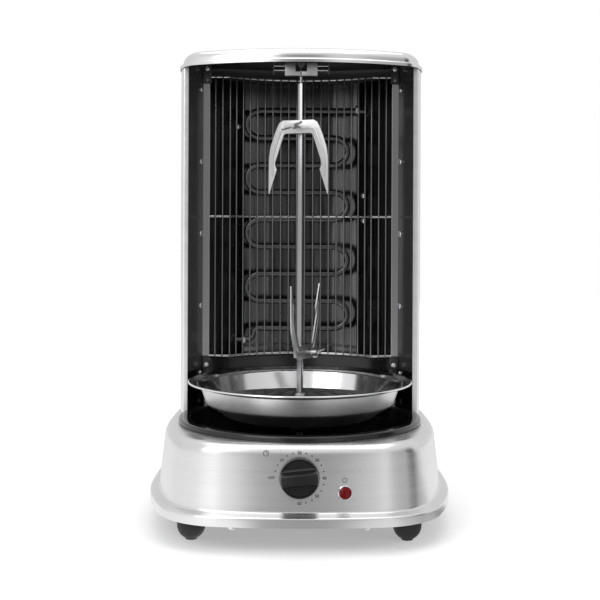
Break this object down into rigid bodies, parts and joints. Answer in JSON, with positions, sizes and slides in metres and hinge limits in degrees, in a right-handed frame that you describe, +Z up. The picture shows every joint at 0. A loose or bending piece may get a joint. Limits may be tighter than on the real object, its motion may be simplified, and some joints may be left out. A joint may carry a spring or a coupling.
{
  "type": "electric skewer grill",
  "caption": "Upright electric grill: skewer with two forks turns over a round drip bowl before a guarded heating element; base with timer knob and lamp.",
  "frame": {"origin": "middle of the footprint, on the surface that the feet stand on", "axes": "+Z up, -Y towards the front with the timer knob, +X to the right seen from the front"},
  "size_m": [0.302, 0.3298, 0.4765],
  "materials": {
    "brushed_steel": "brushed",
    "polished_steel": "polished",
    "dark_plate": "matt",
    "rubber": "matt",
    "zinc": "zinc plated",
    "black_enamel": "gloss enamel",
    "bronze": "sintered",
    "turned_steel": "turned",
    "galvanised": "galvanised",
    "motor_case": "satin",
    "ivory_plastic": "matt",
    "black_plastic": "satin",
    "timer_case": "matt",
    "chrome": "polished",
    "red_lens": "clear red",
    "smoked_panel": "gloss",
    "reflector_steel": "polished, heat darkened",
    "guard_wire": "plated wire",
    "element_sheath": "heat blackened",
    "holder_steel": "satin",
    "spring_steel": "bright",
    "fork_steel": "pressed, bright"
  },
  "bodies": {
    "root": {"base_shell": "brushed_steel", "bottom_plate": "dark_plate", "feet": "rubber", "foot_screws": "zinc", "plate_screws": "zinc", "base_tray": "black_enamel", "hub_bush": "bronze", "motor_bracket": "galvanised", "gear_motor": "motor_case", "motor_screws": "zinc", "terminal_block": "ivory_plastic", "cord_gland": "black_plastic", "timer_body": "timer_case", "lamp_bezel": "chrome", "lamp_lens": "red_lens", "lamp_body": "ivory_plastic", "housing": "brushed_steel", "cap": "polished_steel", "cap_screws": "zinc", "ceiling_plate": "dark_plate", "side_panel_left": "smoked_panel", "side_panel_right": "smoked_panel", "side_skirt_left": "black_enamel", "side_skirt_right": "black_enamel", "panel_screws": "zinc", "lower_shroud": "black_enamel", "reflector": "reflector_steel", "reflector_screws": "zinc", "corner_brackets": "galvanised", "bracket_screws": "zinc", "wire_guard": "guard_wire", "heating_element": "element_sheath", "element_nuts": "zinc", "element_posts": "galvanised", "element_terminals": "zinc", "top_yoke": "holder_steel", "guide_rods": "chrome", "jaw_spring_left": "spring_steel", "jaw_spring_right": "spring_steel"},
    "drive": {"drive_hub": "turned_steel"},
    "bowl": {"drip_bowl": "polished_steel"},
    "skewer": {"skewer_shaft": "turned_steel"},
    "fork_upper": {"fork_upper": "fork_steel"},
    "fork_lower": {"fork_lower": "fork_steel"},
    "thumb_upper": {"thumb_screw_upper": "fork_steel"},
    "thumb_lower": {"thumb_screw_lower": "fork_steel"},
    "knob": {"knob": "black_plastic", "timer_shaft": "zinc"},
    "jaw_left": {"jaw_left": "holder_steel"},
    "jaw_right": {"jaw_right": "holder_steel"}
  },
  "joints": [
    {"name": "drive_spin", "type": "hinge", "parent": "root", "child": "drive", "pos_m": [0, -0.00707, 0.06], "axis": [0, 0, 1], "continuous": true},
    {"name": "bowl_lift", "type": "slide", "parent": "drive", "child": "bowl", "axis": [0, 0, 1], "range_m": [0, 0.01]},
    {"name": "skewer_lift", "type": "slide", "parent": "drive", "child": "skewer", "axis": [0, 0, 1], "range_m": [0, 0.007]},
    {"name": "fork_upper_slide", "type": "slide", "parent": "skewer", "child": "fork_upper", "axis": [0, 0, 1], "range_m": [-0.06, 0.018]},
    {"name": "fork_lower_slide", "type": "slide", "parent": "skewer", "child": "fork_lower", "axis": [0, 0, 1], "range_m": [-0.008, 0.06]},
    {"name": "thumb_upper_turn", "type": "hinge", "parent": "fork_upper", "child": "thumb_upper", "pos_m": [0, -0.00707, 0.3957], "axis": [-0.4384, -0.8988, 0], "range_deg": [0, 360]},
    {"name": "thumb_lower_turn", "type": "hinge", "parent": "fork_lower", "child": "thumb_lower", "pos_m": [0, -0.00707, 0.1669], "axis": [0.8988, -0.4384, 0], "range_deg": [0, 360]},
    {"name": "knob_turn", "type": "hinge", "parent": "root", "child": "knob", "pos_m": [0, -0.14274, 0.0674], "axis": [0, 0.9944, -0.1054], "range_deg": [0, 270]},
    {"name": "jaw_left_slide", "type": "slide", "parent": "root", "child": "jaw_left", "axis": [-1, 0, 0], "range_m": [0, 0.004], "stiffness_N_per_m": 200, "springref_m": -0.005, "deforming": ["jaw_spring_left"]},
    {"name": "jaw_right_slide", "type": "slide", "parent": "root", "child": "jaw_right", "axis": [1, 0, 0], "range_m": [0, 0.004], "stiffness_N_per_m": 200, "springref_m": -0.005, "deforming": ["jaw_spring_right"]}
  ]
}
